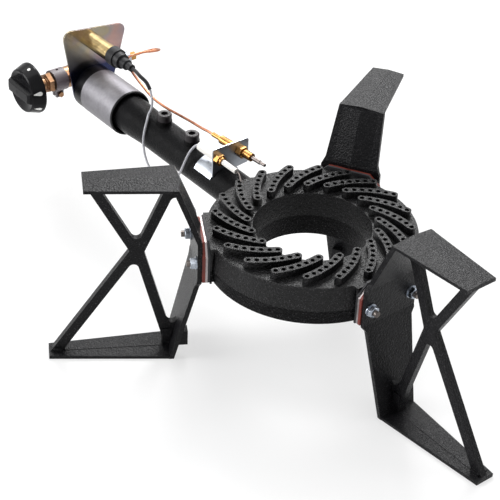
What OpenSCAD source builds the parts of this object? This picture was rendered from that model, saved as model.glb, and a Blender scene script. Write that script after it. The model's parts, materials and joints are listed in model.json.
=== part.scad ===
/* [Burner ring] */
// Outside diameter of the ring's top plate
ring_d = 200; // [190:1:220]
// Diameter of the centre hole at its top edge
hole_d = 112.6; // [104:0.2:116]
// Height of the ring's top plate above the floor
ring_top = 133.7; // [128:0.1:140]
// Height of the outer wall
outer_wall_h = 39.8; // [37:0.2:44]
// Height of the inner wall, which hangs lower than the outer one
inner_wall_h = 46.5; // [43:0.5:52]
// Depth of the casting's parting line below the top plate
parting_down = 24; // [20:0.5:28]
// How far the wall swells out to the parting line
wall_swell = 1.9; // [0.5:0.1:2.5]
// Wall thickness of the casting
cast_wall = 5; // [4:0.5:6]
// Half the width of each pad that carries a leg
pad_half = 31; // [29:0.5:34]

/* [Flame ribs] */
// Number of swirling ribs
rib_count = 20; // [14:1:20]
// Height of a rib above the top plate
rib_h = 8; // [5:0.5:12]
// Width of a rib
rib_w = 8.4; // [7:0.1:9]
// Distance of the outermost port from the ring's edge
rib_inset = 7.7; // [6:0.1:12]
// Distance of the innermost port from the centre hole
rib_hole_gap = 5.6; // [5:0.1:10]
// Angle that a rib swings through from its outer to its inner port
rib_swing = 26.2; // [20:0.1:30]
// Radius of the curve that a rib follows
rib_bend = 90; // [70:1:140]
// Number of ports in a rib
port_count = 7; // [4:1:7]
// Diameter of a port
port_d = 4.4; // [2:0.1:4.8]

/* [Legs] */
// Height of the pan support above the floor
leg_h = 195.4; // [184:0.2:210]
// Length of the top flange
top_len = 85.6; // [75:0.2:100]
// Half the width of the top flange at its inner end
top_half_in = 22.9; // [20:0.1:26]
// Half the width of the top flange at its outer end
top_half_out = 16.6; // [12:0.1:20]
// How far the leg leans out from its pad up to the top flange
top_lean = 21.3; // [16:0.1:28]
// Length of the foot
foot_len = 119.4; // [105:0.2:135]
// Half the width of the foot at its inner end
foot_half_in = 20.9; // [18:0.1:25]
// Half the width of the foot at its outer end
foot_half_out = 10; // [8:0.5:16]
// How far the leg leans out from its pad down to the foot
foot_lean = 24.2; // [18:0.1:30]
// Thickness of the bent flange between top and foot
flange_t = 4.5; // [3.5:0.1:6]
// Thickness of the web
web_t = 7; // [5:0.5:9]
// Width of the web's arms
arm_w = 9.5; // [8:0.1:12]
// Height of the crossing of the arms above the floor
cross_z = 116.5; // [106:0.5:126]
// Distance of the crossing of the arms from the pad's face
cross_out = 57.5; // [50:0.5:65]

/* [Leg joint] */
// Thickness of the dark backing sheet against the ring
backing_t = 2.2; // [1:0.1:3]
// Thickness of the pale spacer plate
spacer_t = 2.1; // [1.5:0.1:4]
// Thickness of the red gasket against the leg
gasket_t = 2.9; // [1:0.1:4]
// Diameter of the studs
stud_d = 6; // [5:0.5:8]
// Distance between the two studs of a leg
stud_pitch = 49; // [44:0.5:50]
// Height of the nuts
nut_h = 5; // [4:0.1:6.5]
// Thickness of the washers
washer_t = 1.2; // [0.8:0.1:2]

/* [Mixing tube] */
// Outside diameter of the tube
tube_d = 38; // [36:0.5:39]
// Wall thickness of the tube
tube_wall = 3.5; // [3:0.1:4.5]
// Outside diameter of the flared air end
bell_d = 41; // [40:0.5:43]
// Length of the tube from the ring's edge to its air end
tube_len = 230; // [210:1:260]
// Diameter of the narrow throat
throat_d = 26; // [22:0.5:29]
// Depth of the tube's axis below the ring's top plate
tube_down = 23.2; // [22.6:0.1:24]
// Diameter of the two bosses on top of the tube
boss_d = 16.4; // [14:0.2:19]
// Height of the plugs above their bosses
plug_h = 7.5; // [5:0.5:10]

/* [Air sleeve and plate] */
// Gap between the tube's flared end and the sleeve
air_gap = 3; // [2:0.1:4.5]
// Wall thickness of the sleeve
sleeve_wall = 1.5; // [1:0.1:2]
// How far the sleeve reaches over the tube
sleeve_lap = 27; // [18:0.5:35]
// Distance from the tube's air end to the plate
mouth_gap = 45.7; // [40:0.1:55]
// Length of the foil label
label_len = 57; // [40:0.5:60]
// Thickness of the plate
plate_t = 2; // [1.5:0.1:2.5]
// Half the width of the plate at its top
plate_half = 39.2; // [36:0.1:44]
// Height of the plate above the tube's axis
plate_up = 70.6; // [69:0.1:80]
// Angle by which the plate is turned about the tube's axis
plate_roll = 7; // [0:0.5:9]

/* [Igniter] */
// Height of the igniter above the tube's axis
igniter_up = 59; // [57:0.5:60]
// Diameter of the igniter's case
igniter_d = 18; // [16:0.5:18]
// Length of the case in front of the plate
igniter_len = 46.7; // [44:0.1:55]
// Travel of the igniter's button
button_travel = 5; // [2:0.5:5]

/* [Gas valve and knob] */
// Distance of the valve's axis behind the plate
valve_back = 32.3; // [30:0.1:38]
// Diameter of the valve's barrel
barrel_d = 24; // [22:0.5:25]
// Diameter of the threaded gas inlet
inlet_d = 20; // [16:0.1:21]
// Diameter of the valve's stem
stem_d = 6; // [5:0.5:7]
// Diameter of the knob's skirt
knob_d = 57; // [50:0.5:60]
// Depth of the knob
knob_h = 21; // [19:0.5:26]
// Travel of the knob when it is pushed
push_travel = 4; // [2:0.5:4]

/* [Flame probes] */
// Height of both probes above the tube's axis
probe_up = 32.5; // [31:0.5:36]
// Side position of the spark electrode
electrode_x = 10; // [6:0.5:10]
// Side position of the thermocouple at its bracket
thermocouple_x = -16.8; // [-20:0.2:-14]
// Angle by which the thermocouple points away from the tube
thermocouple_yaw = 4.6; // [0:0.2:6]

/* [Hidden] */
$fn = 96;

fit = 0.05;

// Ring
ring_r = ring_d / 2;
hole_r = hole_d / 2;
swell_r = ring_r + wall_swell;
outer_bottom = ring_top - outer_wall_h;
inner_bottom = ring_top - inner_wall_h;
parting_z = ring_top - parting_down;
chamber_in = hole_r + cast_wall;
chamber_out = ring_r - cast_wall;
chamber_floor = outer_bottom + cast_wall;
pad_face = ring_r + 0.3;
pad_groove = 3;
LEG_ANGLES = [90, -30, 210];

// Ribs: an arc of radius rib_bend through the outermost and innermost port
rib_out = ring_r - rib_inset;
rib_in = hole_r + rib_hole_gap;
rib_first = -61.2;
rib_p0 = [rib_out, 0];
rib_p1 = rib_in * [cos(rib_swing), sin(rib_swing)];
rib_mid = (rib_p0 + rib_p1) / 2;
rib_chord = norm(rib_p1 - rib_p0);
rib_along = (rib_p1 - rib_p0) / rib_chord;
rib_side = [rib_along[1], -rib_along[0]];
rib_centre = rib_mid - rib_side * sqrt(rib_bend * rib_bend - rib_chord * rib_chord / 4);
rib_half_angle = asin(rib_chord / 2 / rib_bend);
rib_mid_angle = atan2(rib_side[1], rib_side[0]);
rib_end_step = 0.1;

// Leg joint, outwards from the ring
spacer_face = pad_face + backing_t;
gasket_face = spacer_face + spacer_t;
leg_face = gasket_face + gasket_t;
leg_back = leg_face + flange_t;
stud_z = ring_top - 18.7;
sheet_half = pad_half + 1;
sheet_bottom = outer_bottom + 3.6;
sheet_top = ring_top + 2.2;
backing_top = ring_top + 4;
sheet_chamfer = 10.5;
stud_in = 12;
washer_r = stud_d * 1.05;
nut_r = stud_d * 0.96;
stud_end = leg_back + washer_t + nut_h + 3.4;

// Leg outline, seen from the side: out from the ring's axis and up
pad_top = ring_top + 5.3;
pad_bottom = ring_top - 36.4;
shoulder = 4.5;
top_in = leg_face + top_lean;
top_out = top_in + top_len;
foot_in = leg_face + foot_lean;
foot_out = foot_in + foot_len;
crown = 2;
ridge_half = 18;
ridge_h = 2.4;
top_flange_t = 4.5;
top_under = leg_h - top_flange_t;
foot_t = 4.5;
cross_u = leg_face + cross_out;
cross_gap = 3.5;
WEB_T = [cross_u, cross_z - cross_gap];
WEB_F = [cross_u, cross_z + cross_gap];
ARM_TO = [top_out - 7.7, top_under];
ARM_TI = [top_in + 2.5, top_under];
ARM_FI = [foot_in + 2.4, foot_t];
ARM_FO = [foot_out - 7.7, foot_t];

// Tube: d is the distance from the ring's axis along the tube
tube_z = ring_top - tube_down;
tube_r = tube_d / 2;
bell_r = bell_d / 2;
tube_start = chamber_out - 4;
tube_mouth = ring_r + tube_len;
bell_start = tube_mouth - 40;
taper_start = bell_start - 25;
throat_at = tube_mouth - 50;
bore_r = tube_r - tube_wall;
boss_r = boss_d / 2;
boss_top = tube_r + 3.5;
BOSS_AT = [tube_mouth - 89.5, tube_mouth - 137.6];
plug_shank_r = 5;

// Sleeve and plate
sleeve_in = bell_r + air_gap;
sleeve_out = sleeve_in + sleeve_wall;
sleeve_start = tube_mouth - sleeve_lap;
plate_front = tube_mouth + mouth_gap;
plate_back = plate_front + plate_t;
label_t = 0.3;
label_start = sleeve_start + 2;
plate_corner = 8.6;
plate_shift = 4.4;
plate_neck_r = sleeve_out;
flank_step = 0.1;
spigot_r = 8;

// Igniter, measured along the tube's direction
igniter_x = 3;
igniter_r = igniter_d / 2;
case_wall = 1.5;
case_front = plate_front - igniter_len;
case_end = plate_back + 3.4;
case_neck_r = igniter_r - 0.6;
button_r = igniter_r - 2.6;
button_stop = plate_front - 1.7;
button_out = case_end + button_travel + 0.4;
striker_end = case_front + 26;
boot_r = igniter_r + 1.3;
boot_end = case_front - 34;

// Valve: x runs along the valve's axis towards the knob
valve_d = plate_back + valve_back;
barrel_r = barrel_d / 2;
barrel_in = -40;
barrel_out = 17;
collar_out = 33;
collar_r = barrel_r - 1;
plug_r = 7;
seat_x = -20;
plug_in = -17.5;
plug_out = 30;
stem_r = stem_d / 2;
stem_flat = stem_r * 0.7;
pin_r = 1.5;
stem_in = 9;
seal_t = 1.5;
bonnet_in = collar_out + seal_t;
bonnet_ring = bonnet_in + 5.5;
bonnet_out = 46;
bonnet_flats = 2 * (collar_r - 1);
cap_x = 41;
spring_r = 4.4;
knob_back = 50;
knob_rim = 56;
knob_r = knob_d / 2;
knob_front = knob_rim + knob_h - 1;
knob_face = knob_rim + 12;
strap_screw_up = collar_r + 4.8;
disc_r = 6.5;
disc_t = 3;
magnet_core = -44;
magnet_out = -70;
lead_nut_out = -78;
inlet_x = -26;
inlet_r = inlet_d / 2;
inlet_hex = barrel_r + 8;
inlet_end = barrel_r + 20;

// Flame probes
probe_z = tube_z + probe_up;
saddle_t = 1.2;
bracket_t = 1.5;
bracket_out = 37;
bracket_d = ring_r + bracket_out;
bracket_rear = bracket_d + 27;
bracket_top = probe_up + 11;
bracket_left = electrode_x + 6;
bracket_right = thermocouple_x - 11.5;
bracket_foot = 14.5;
ceramic_rear_r = 5;
ceramic_front_r = 2.8;
electrode_rear = bracket_d + 27;
electrode_front = bracket_d - 32;
tc_rear = 38;
tc_front = 39;
tip_r = 2.2;

// Routes of the wire and the lead, chosen by hand
wire_r = 1.25;
lead_r = 1.4;
sleeve_cord_r = 2;
CORD_SIDES = 8;
SLEEVE_ROUTE = [
    [3, -295, 169.5], [3, -288, 169], [2.5, -281, 166.5], [0, -273.5, 162], [-1, -268, 155.5]
];
WIRE_ROUTE = [
    [-1, -268, 155.5], [0.5, -262, 146.5], [3, -260, 138], [7.5, -259, 132], [13, -254, 128],
    [18.5, -250, 121.5], [21.5, -248, 112.5], [22.5, -246, 104.5], [24, -241, 96.5], [25.5, -233, 90],
    [26.5, -222, 85.5], [27, -209, 84], [26.5, -197, 87], [25.5, -187, 95.5], [24.5, -180, 106.5],
    [23.5, -176, 116], [21, -174, 125], [17.5, -172.5, 133.5], [13.5, -170, 140],
    [10.5, -167, 142.7], [10, -164, 143]
];
LEAD_ROUTE = [
    [-78, -410, 110.5], [-84, -410, 110.5], [-92, -409, 111.5], [-99, -405, 113.5],
    [-102, -399, 116], [-100.5, -392, 119], [-95, -387.5, 121.5], [-87, -386, 123.5],
    [-74, -386, 126], [-61, -385, 127.5], [-51, -381, 128.5], [-43, -372, 130],
    [-36, -358, 132.5], [-28, -342, 136], [-21.5, -322, 137.5], [-18.5, -304, 135.5],
    [-17, -289, 133], [-16.5, -274, 132], [-16.5, -258, 132.5], [-16, -243, 134.5],
    [-15, -228, 137], [-14, -211, 139.5], [-13, -194, 141.5], [-13.2, -182, 142.9],
    [-13.7, -174.8, 143]
];

// Plane geometry
function unit(v) = v / norm(v);
function turn(v) = [-v[1], v[0]];
function cross2(a, b) = a[0] * b[1] - a[1] * b[0];
function meet(p, d, q, e) = p + d * (cross2(q - p, e) / cross2(d, e));
function dir(p, q) = unit(q - p);

// Corner of two edges, each moved sideways from the line through two points
function edge_meet(p, p2, s, q, q2, t) =
    meet(p + turn(dir(p, p2)) * s, dir(p, p2), q + turn(dir(q, q2)) * t, dir(q, q2));

// Centre of the arc that rounds the middle one of three points
function round_centre(a, b, c, r) =
    let (u = dir(b, a), v = dir(b, c), h = acos(u * v) / 2) b + unit(u + v) * (r / sin(h));
function round_start(a, b, c, r) =
    let (u = dir(b, a), v = dir(b, c), h = acos(u * v) / 2) b + u * (r / tan(h));

// Convex polygon with true round corners, points in order
module rounded_polygon(pts, radii) {
    n = len(pts);
    polygon([
        for (i = [0 : n - 1])
            let (a = pts[(i + n - 1) % n], b = pts[i], c = pts[(i + 1) % n], r = radii[i])
                for (p = [round_start(a, b, c, r), round_start(c, b, a, r)]) p
    ]);
    for (i = [0 : n - 1])
        translate(round_centre(pts[(i + n - 1) % n], pts[i], pts[(i + 1) % n], radii[i]))
            circle(r = radii[i], $fn = 32);
}

// Points of the straight flank that touches two circles on the left of the way from p to q
function flank(p, rp, q, rq) =
    let (d = norm(q - p), a = acos((rp - rq) / d), u = dir(p, q),
         n = [u[0] * cos(a) - u[1] * sin(a), u[0] * sin(a) + u[1] * cos(a)])
        [p + n * rp, q + n * rq];

// Tube swept along a route
function spline(a, b, c, d, t) =
    0.5 * (2 * b + (c - a) * t + (2 * a - 5 * b + 4 * c - d) * t * t
        + (3 * b - a - 3 * c + d) * t * t * t);
function smooth(p) = [
    for (i = [0 : len(p) - 2])
        let (a = p[max(i - 1, 0)], d = p[min(i + 2, len(p) - 1)])
            for (t = [0, 0.5]) spline(a, p[i], p[i + 1], d, t),
    p[len(p) - 1]
];
function tangent(p, i) = unit(p[min(i + 1, len(p) - 1)] - p[max(i - 1, 0)]);
function ring_points(p, i, r, ref, sides) =
    let (t = tangent(p, i), a = unit(cross(t, ref)), b = cross(t, a))
        [for (k = [0 : sides - 1]) p[i] + r * (cos(360 * k / sides) * a + sin(360 * k / sides) * b)];

module sweep(p, r, ref, sides = CORD_SIDES) {
    n = len(p);
    polyhedron(
        points = [for (i = [0 : n - 1]) each ring_points(p, i, r, ref, sides)],
        faces = concat(
            [[for (k = [0 : sides - 1]) k]],
            [for (i = [0 : n - 2]) for (k = [0 : sides - 1])
                let (k1 = (k + 1) % sides)
                    [i * sides + k, (i + 1) * sides + k, (i + 1) * sides + k1, i * sides + k1]],
            [[for (k = [sides - 1 : -1 : 0]) (n - 1) * sides + k]]
        )
    );
}

module coil(r, wire, length, turns) {
    steps = turns * 12;
    sweep(
        [for (i = [0 : steps])
            [r * cos(30 * i), r * sin(30 * i), wire + (length - 2 * wire) * i / steps]],
        wire, [0, 0, 1], 6
    );
}

// Frames: local z runs out along the tube, or along the valve towards the knob
module along_tube() {
    translate([0, 0, tube_z]) rotate([90, 0, 0]) children();
}

module along_igniter() {
    along_tube() translate([igniter_x, igniter_up, 0]) children();
}

module along_valve() {
    translate([0, -valve_d, tube_z]) rotate([0, 90, 0]) children();
}

module along_electrode() {
    along_tube() translate([electrode_x, probe_up, 0]) children();
}

module along_thermocouple() {
    translate([thermocouple_x, -bracket_d, probe_z]) rotate([0, 0, thermocouple_yaw])
        rotate([90, 0, 0]) children();
}

module at_legs() {
    for (a = LEG_ANGLES) rotate([0, 0, a]) children();
}

module at_studs() {
    at_legs() for (s = [-1, 1])
        translate([0, s * stud_pitch / 2, stud_z]) rotate([0, 90, 0]) children();
}

module span(from, to, r) {
    translate([0, 0, from]) cylinder(r = r, h = to - from);
}

module tube_span(from, to, r, hole) {
    difference() {
        span(from, to, r);
        span(from - 1, to + 1, hole);
    }
}

module hex_span(from, to, flats) {
    translate([0, 0, from]) cylinder(r = flats / 2 / cos(30), h = to - from, $fn = 6);
}

// Burner ring
module ring_profile() {
    polygon([
        [hole_r, ring_top], [ring_r - 1, ring_top], [ring_r, ring_top - 1],
        [swell_r, parting_z + 0.6], [swell_r, parting_z - 0.8],
        [ring_r + 0.3, outer_bottom + 1], [ring_r - 0.7, outer_bottom],
        [hole_r + cast_wall, outer_bottom], [hole_r + cast_wall - 0.6, inner_bottom],
        [hole_r - 0.4, inner_bottom], [hole_r - 2, parting_z]
    ]);
}

module rib_2d() {
    intersection() {
        translate(rib_centre) difference() {
            circle(r = rib_bend + rib_w / 2);
            circle(r = rib_bend - rib_w / 2);
        }
        polygon([
            rib_centre,
            rib_centre + 1.4 * rib_bend * [cos(rib_mid_angle - rib_half_angle), sin(rib_mid_angle - rib_half_angle)],
            rib_centre + 1.4 * rib_bend * [cos(rib_mid_angle + rib_half_angle), sin(rib_mid_angle + rib_half_angle)]
        ]);
    }
    for (p = [rib_p0, rib_p1]) translate(p) circle(r = rib_w / 2 - rib_end_step);
}

module rib_ports() {
    for (i = [0 : port_count - 1]) {
        a = rib_mid_angle + rib_half_angle * (2 * i / (port_count - 1) - 1);
        translate(rib_centre + rib_bend * [cos(a), sin(a)]) cylinder(r = port_d / 2, h = rib_h + cast_wall + 2);
    }
}

module leg_pad() {
    difference() {
        translate([chamber_out - 10, -pad_half, outer_bottom + 1.1])
            cube([pad_face - chamber_out + 10, 2 * pad_half, outer_wall_h - 1.1]);
        for (s = [-1, 1])
            translate([pad_face - 4.5, s * pad_half - pad_groove, outer_bottom])
                cube([2.5, 2 * pad_groove, outer_wall_h - 3]);
    }
}

module stud_block() {
    for (s = [-1, 1])
        translate([pad_face - stud_in - 3, s * stud_pitch / 2 - 7, stud_z - 8])
            cube([stud_in - 3, 14, 16]);
}

module burner_ring() {
    color("#232325")
    difference() {
        union() {
            difference() {
                union() {
                    rotate_extrude() ring_profile();
                    at_legs() leg_pad();
                    along_tube() span(chamber_out - 6, swell_r, tube_r + 3.5);
                }
                rotate_extrude() translate([chamber_in, chamber_floor])
                    square([chamber_out - chamber_in, ring_top - cast_wall - chamber_floor]);
            }
            at_legs() stud_block();
            for (i = [0 : rib_count - 1])
                rotate([0, 0, rib_first - i * 360 / rib_count])
                    translate([0, 0, ring_top - 1]) linear_extrude(rib_h + 1) rib_2d();
        }
        at_legs() translate([pad_face, -pad_half, outer_bottom - 1])
            cube([swell_r, 2 * pad_half, outer_wall_h + 2]);
        along_tube() span(tube_start, swell_r + 5, tube_r + fit);
        along_tube() span(chamber_out - 12, tube_start + 1, bore_r);
        at_studs() span(pad_face - stud_in, pad_face + 1, stud_d / 2 + fit);
        for (i = [0 : rib_count - 1])
            rotate([0, 0, rib_first - i * 360 / rib_count])
                translate([0, 0, ring_top - cast_wall - 1]) rib_ports();
    }
}

// Leg, drawn with its pad towards the ring's axis
module leg_side_outline() {
    polygon([
        [leg_face, pad_bottom], [leg_face, pad_top], [top_in, leg_h - crown],
        [top_in + flange_t, leg_h - crown], [top_in + flange_t, top_under],
        [leg_back, pad_top - 1], [leg_back, pad_bottom + 1],
        [foot_in + flange_t, 0], [foot_in, 0]
    ]);
}

module leg_front_outline() {
    half = [
        [foot_half_in, 0], [pad_half - 4, pad_bottom - 7], [pad_half - 0.3, pad_bottom - 2],
        [pad_half - 0.3, pad_top - shoulder], [pad_half - 4, pad_top + shoulder], [top_half_in, leg_h]
    ];
    polygon(concat(half, [for (i = [len(half) - 1 : -1 : 0]) [-half[i][0], half[i][1]]]));
}

module bent_flange() {
    intersection() {
        rotate([90, 0, 0]) linear_extrude(3 * pad_half, center = true) leg_side_outline();
        rotate([90, 0, 90]) linear_extrude(2 * foot_out) leg_front_outline();
    }
}

module ridge() {
    rise = leg_h - crown - pad_top;
    intersection() {
        translate([leg_face, 0, pad_top]) rotate([0, atan2(top_lean, rise), 0])
            linear_extrude(norm([top_lean, rise]))
                polygon([[0, -ridge_half], [-ridge_h, 0], [0, ridge_half], [1, ridge_half], [1, -ridge_half]]);
        translate([0, -pad_half, pad_top + 3]) cube([top_in + flange_t, 2 * pad_half, rise - 4]);
    }
}

module crowned_plate(from, to, half_in, half_out, low, high, under) {
    intersection() {
        translate([from, 0, 0]) rotate([90, 0, 90]) linear_extrude(to - from)
            polygon([
                [-half_in - 1, under], [half_in + 1, under], [half_in + 1, low], [0, high], [-half_in - 1, low]
            ]);
        translate([0, 0, under - 1]) linear_extrude(high - under + 2)
            polygon([[from, -half_in], [to, -half_out], [to, half_out], [from, half_in]]);
    }
}

module web_outline() {
    polygon([
        [top_in, top_under + 1], [ARM_TO[0] + arm_w, top_under + 1], [foot_out, cross_z],
        [ARM_FO[0] + arm_w, foot_t - 1], [foot_in + 2, foot_t - 1],
        [leg_back - 1, pad_bottom + 1], [leg_back - 1, pad_top - 1]
    ]);
}

module web_windows() {
    w = arm_w / 2;
    top_line = [0, top_under];
    foot_line = [0, foot_t];
    far = [1, top_under];
    far_foot = [1, foot_t];
    rounded_polygon([
        edge_meet(WEB_T, ARM_TO, w, WEB_T, ARM_TI, -w),
        edge_meet(WEB_T, ARM_TO, w, top_line, far, 0),
        edge_meet(WEB_T, ARM_TI, -w, top_line, far, 0)
    ], [5, 2, 2]);
    rounded_polygon([
        edge_meet(WEB_F, ARM_FO, -w, WEB_F, ARM_FI, w),
        edge_meet(WEB_F, ARM_FI, w, foot_line, far_foot, 0),
        edge_meet(WEB_F, ARM_FO, -w, foot_line, far_foot, 0)
    ], [5, 2, 2]);
    rounded_polygon([
        edge_meet(WEB_T, ARM_TI, w, WEB_F, ARM_FI, -w),
        edge_meet(WEB_T, ARM_TI, w, [leg_back, pad_top - 1], [top_in + flange_t, top_under], 0),
        [leg_back, pad_top - 1],
        [leg_back, pad_bottom + 1],
        edge_meet(WEB_F, ARM_FI, -w, [leg_back, pad_bottom + 1], [foot_in + flange_t, 0], 0)
    ], [4, 5, 1, 1, 5]);
    polygon([
        edge_meet(WEB_T, ARM_TO, -w, WEB_F, ARM_FO, w),
        edge_meet(WEB_T, ARM_TO, -w, [0, leg_h], [1, leg_h], 0),
        [2 * foot_out, leg_h], [2 * foot_out, -1],
        edge_meet(WEB_F, ARM_FO, w, [0, -1], [1, -1], 0)
    ]);
}

module web() {
    rotate([90, 0, 0]) linear_extrude(web_t, center = true) difference() {
        web_outline();
        web_windows();
    }
}

module leg(angle) {
    color("#2a2a2c")
    rotate([0, 0, angle]) difference() {
        union() {
            bent_flange();
            ridge();
            crowned_plate(top_in, top_out, top_half_in, top_half_out, leg_h - crown, leg_h, top_under);
            crowned_plate(foot_in, foot_out, foot_half_in, foot_half_out, foot_t - crown, foot_t, 0);
            web();
            translate([foot_out - 14, -web_t / 2 - 2, foot_t - 2]) cube([10, web_t + 4, 5]);
            translate([foot_in + 1, -web_t / 2 - 1.5, foot_t - 2]) cube([9, web_t + 3, 22]);
            translate([leg_face + 10.5, 5, 12]) cube([10.8, 10, 16]);
        }
        for (s = [-1, 1])
            translate([0, s * stud_pitch / 2, stud_z]) rotate([0, 90, 0])
                span(leg_face - 5, leg_back + 5, stud_d / 2 + 0.3);
    }
}

// Sheets between ring and leg
module leg_sheet(from, thick, top) {
    at_legs() difference() {
        translate([from, 0, 0]) rotate([90, 0, 90]) linear_extrude(thick)
            polygon([
                [-sheet_half, sheet_bottom], [sheet_half, sheet_bottom],
                [sheet_half, top - sheet_chamfer], [sheet_half - sheet_chamfer, top],
                [sheet_chamfer - sheet_half, top], [-sheet_half, top - sheet_chamfer]
            ]);
        for (s = [-1, 1])
            translate([0, s * stud_pitch / 2, stud_z]) rotate([0, 90, 0])
                span(from - 1, from + thick + 1, stud_d / 2 + 0.3);
    }
}

module leg_backings() {
    color("#1c1c1e") leg_sheet(pad_face, backing_t, backing_top);
}

module leg_spacers() {
    color("#d8d4d0") leg_sheet(spacer_face, spacer_t, sheet_top);
}

module leg_gaskets() {
    color("#a8402c") leg_sheet(gasket_face, gasket_t, sheet_top);
}

module leg_studs() {
    color("#4a4644") at_studs() span(pad_face - stud_in + 1, stud_end, stud_d / 2);
}

module leg_washers() {
    color("#b8bcc4") at_studs() tube_span(leg_back, leg_back + washer_t, washer_r, stud_d / 2 + fit);
}

module leg_nuts() {
    color("#a4aab6") at_studs() intersection() {
        difference() {
            hex_span(leg_back + washer_t, leg_back + washer_t + nut_h, 2 * nut_r * cos(30));
            span(leg_back, leg_back + washer_t + nut_h + 1, stud_d / 2 + fit);
        }
        translate([0, 0, leg_back + washer_t]) rotate_extrude()
            polygon([[0, 0], [nut_r, 0], [nut_r, nut_h - 1], [nut_r - 1.2, nut_h], [0, nut_h]]);
    }
}

// Mixing tube
module mixing_tube() {
    color("#1e1e20")
    difference() {
        union() {
            along_tube() rotate_extrude() polygon([
                [0, tube_start], [tube_r, tube_start], [tube_r, taper_start],
                [bell_r, bell_start], [bell_r, tube_mouth], [0, tube_mouth]
            ]);
            for (d = BOSS_AT) translate([0, -d, tube_z]) cylinder(r = boss_r, h = boss_top);
            along_tube() for (a = [30, 150, 270]) rotate([0, 0, a])
                translate([bell_r - 1, -3, tube_mouth - 14]) cube([air_gap + 0.6, 6, 10]);
        }
        along_tube() rotate_extrude() polygon([
            [0, tube_start - 1], [bore_r, tube_start - 1], [bore_r, throat_at - 60],
            [throat_d / 2, throat_at - 5], [throat_d / 2, throat_at + 5],
            [bell_r - 2, tube_mouth], [bell_r - 2, tube_mouth + 1], [0, tube_mouth + 1]
        ]);
        for (d = BOSS_AT)
            translate([0, -d, tube_z + boss_top - 6.5]) cylinder(r = plug_shank_r + fit, h = 10);
    }
}

module tube_plugs() {
    color("#17171a")
    for (d = BOSS_AT) translate([0, -d, tube_z + boss_top]) difference() {
        union() {
            rotate_extrude() polygon([
                [0, -6], [plug_shank_r, -6], [plug_shank_r, 0], [boss_r - 0.5, 0],
                [boss_r - 0.5, plug_h - 0.9], [boss_r - 1.4, plug_h], [0, plug_h]
            ]);
        }
        translate([0, 0, plug_h - 3]) cylinder(r = 4, h = 4, $fn = 6);
    }
}

// Sleeve, label and plate
module air_sleeve() {
    color("#1a1a1c") along_tube() tube_span(sleeve_start, plate_front, sleeve_out, sleeve_in);
}

module foil_label() {
    color("#b9b7bd") along_tube()
        tube_span(label_start, label_start + label_len, sleeve_out + label_t, sleeve_out);
}

module plate_blank() {
    l = [plate_shift - plate_half + plate_corner, plate_up - plate_corner];
    r = [plate_shift + plate_half - plate_corner, plate_up - plate_corner];
    o = [0, 0];
    a = flank(o, plate_neck_r, l, plate_corner);
    b = flank(l, plate_corner, r, plate_corner);
    c = flank(r, plate_corner, o, plate_neck_r);
    rotate([0, 0, plate_roll]) union() {
        linear_extrude(plate_t) polygon(concat(a, b, c));
        cylinder(r = plate_neck_r - flank_step, h = plate_t);
        for (p = [l, r]) translate([p[0], p[1], 0]) cylinder(r = plate_corner - flank_step, h = plate_t);
    }
}

module mounting_plate() {
    color("#a08a5e")
    along_tube() difference() {
        translate([0, 0, plate_front]) plate_blank();
        span(plate_front - 1, plate_back + 1, spigot_r + 0.1);
        translate([igniter_x, igniter_up, 0]) span(plate_front - 1, plate_back + 1, case_neck_r + 0.1);
    }
}

module plate_locknut() {
    color("#b58a48") along_tube() difference() {
        hex_span(plate_front - 5, plate_front, 21);
        span(plate_front - 6, plate_front + 1, spigot_r + fit);
    }
}

// Igniter
module igniter_case() {
    color("#c8a862") along_igniter() difference() {
        union() {
            span(case_front, plate_front, igniter_r);
            span(plate_front - 1, case_end, case_neck_r);
        }
        span(case_front + 2, button_stop, igniter_r - case_wall);
        span(button_stop - 1, case_end + 1, button_r + 0.1);
        span(case_front - 1, case_front + 3, 2.5);
    }
}

module igniter_nut() {
    color("#2a2a2a") along_igniter() difference() {
        span(plate_back, plate_back + 3, igniter_r + 1);
        span(plate_back - 1, plate_back + 4, case_neck_r + fit);
    }
}

module igniter_striker() {
    color("#d8d4c8") along_igniter() {
        span(case_front + 2, striker_end, igniter_r - case_wall - 0.2);
        span(case_front - 6, case_front + 3, 2);
    }
}

module igniter_spring() {
    color("#b0b0b0") along_igniter() translate([0, 0, striker_end])
        coil(4.6, 0.5, button_stop - 4.7 - striker_end, 5);
}

module igniter_button() {
    color("#1b1b1d") along_igniter() {
        span(button_stop - 4.7, button_stop - 0.2, igniter_r - case_wall - 0.3);
        span(button_stop - 1, button_out - 0.6, button_r);
        span(button_out - 0.9, button_out, button_r - 0.8);
    }
}

module igniter_boot() {
    color("#202124") along_igniter() difference() {
        rotate_extrude() polygon([
            [0, boot_end], [4, boot_end], [4, boot_end + 8], [5.8, boot_end + 8.5],
            [5.8, boot_end + 17], [boot_r - 2.2, boot_end + 17.5], [boot_r - 1.4, case_front - 9],
            [boot_r, case_front - 9], [boot_r, case_front + 2], [0, case_front + 2]
        ]);
        span(case_front, case_front + 3, igniter_r);
        span(case_front - 8, case_front + 1, 2 + fit);
    }
}

module wire_sleeve() {
    color("#1c1c24") sweep(smooth(SLEEVE_ROUTE), sleeve_cord_r, [1, 0, 0]);
}

module ignition_wire() {
    color("#c4c4ca") sweep(smooth(WIRE_ROUTE), wire_r, [1, 0, 0]);
}

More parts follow.
